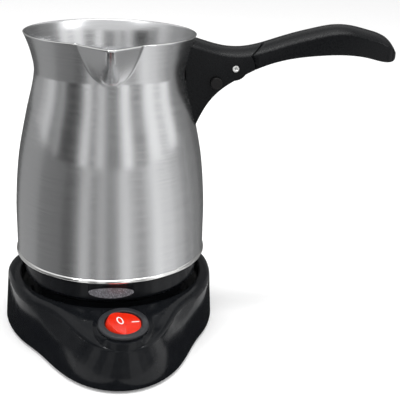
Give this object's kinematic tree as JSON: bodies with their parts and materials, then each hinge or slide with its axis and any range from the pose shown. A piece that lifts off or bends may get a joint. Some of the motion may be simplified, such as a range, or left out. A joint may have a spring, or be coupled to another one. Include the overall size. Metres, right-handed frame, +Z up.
{
  "type": "electric turkish coffee maker",
  "caption": "Steel electric coffee pot with a pouring spout and a folding side handle, standing in a rounded cordless power base with a round lit rocker switch.",
  "frame": {"origin": "on the pot's upright axis, at the level of the table that the feet stand on", "axes": "+X from the pot's axis along the handle, -Y towards the pouring spout and the switch, +Z up"},
  "size_m": [0.191, 0.1269, 0.1533],
  "materials": {
    "pot_steel": "brushed round the pot",
    "base_black": "polished",
    "skirt_black": "polished",
    "cover_black": "fine texture",
    "inner_plastic": "plain moulded",
    "handle_black": "satin",
    "button_black": "satin",
    "switch_bezel": "satin",
    "rocker_red": "translucent, lit from inside",
    "lamp_glass": "clear",
    "rubber_dark": "matte",
    "gland_black": "satin",
    "seal_silicone": "matte",
    "screw_steel": "bright zinc",
    "pin_steel": "bright",
    "contact_brass": "bright",
    "plate_aluminium": "satin",
    "element_steel": "dull",
    "stat_ceramic": "matte ceramic",
    "badge_grey": "grey with fine speckles under clear lacquer",
    "lead_brown": "insulation",
    "lead_blue": "insulation",
    "lead_green": "insulation"
  },
  "bodies": {
    "base": {"base_housing": "base_black", "base_cover": "cover_black", "rubber_feet": "rubber_dark", "cover_screws": "screw_steel", "socket_tower": "inner_plastic", "socket_contacts": "contact_brass", "cord_gland": "gland_black", "terminal_block": "inner_plastic", "block_screws": "screw_steel", "switch_body": "switch_bezel", "switch_lamp": "lamp_glass", "switch_terminals": "contact_brass", "switch_sleeves": "contact_brass", "lead_live_in": "lead_brown", "lead_live_out": "lead_brown", "lead_neutral": "lead_blue", "lead_lamp": "lead_brown", "lead_earth": "lead_green"},
    "pot": {"pot_body": "pot_steel", "pot_floor": "pot_steel", "heat_plate": "plate_aluminium", "heating_element": "element_steel", "thermostat": "stat_ceramic", "thermostat_blades": "contact_brass", "thermal_fuse": "stat_ceramic", "fuse_clip": "pin_steel", "seal_ring": "seal_silicone", "floor_posts": "pin_steel", "pot_skirt": "skirt_black", "badge_plate": "badge_grey", "skirt_screws": "screw_steel", "plug_cup": "inner_plastic", "plug_contacts": "contact_brass", "lead_thermostat": "lead_brown", "lead_fuse": "lead_brown", "lead_element": "lead_brown", "lead_return": "lead_blue", "lead_plate_earth": "lead_green", "handle_bracket": "handle_black", "handle_tab": "pot_steel", "tab_screws": "screw_steel", "hinge_pin": "pin_steel"},
    "grip": {"handle_grip": "handle_black"},
    "lock": {"lock_button": "button_black", "lock_spring": "pin_steel"},
    "rocker": {"switch_rocker": "rocker_red"}
  },
  "joints": [
    {"name": "pot_lift", "type": "slide", "parent": "base", "child": "pot", "axis": [0, 0, 1], "range_m": [0, 0.06]},
    {"name": "handle_fold", "type": "hinge", "parent": "pot", "child": "grip", "pos_m": [0.0583, 0, 0.1329], "axis": [0, 1, 0], "range_deg": [0, 95]},
    {"name": "lock_press", "type": "slide", "parent": "pot", "child": "lock", "axis": [0, 1, 0], "range_m": [0, 0.0018], "stiffness_N_per_m": 300, "springref_m": -0.003},
    {"name": "switch_rock", "type": "hinge", "parent": "base", "child": "rocker", "pos_m": [0.00533, -0.05972, 0.02571], "axis": [0.088, -0.9859, -0.1426], "range_deg": [0, 20]}
  ]
}
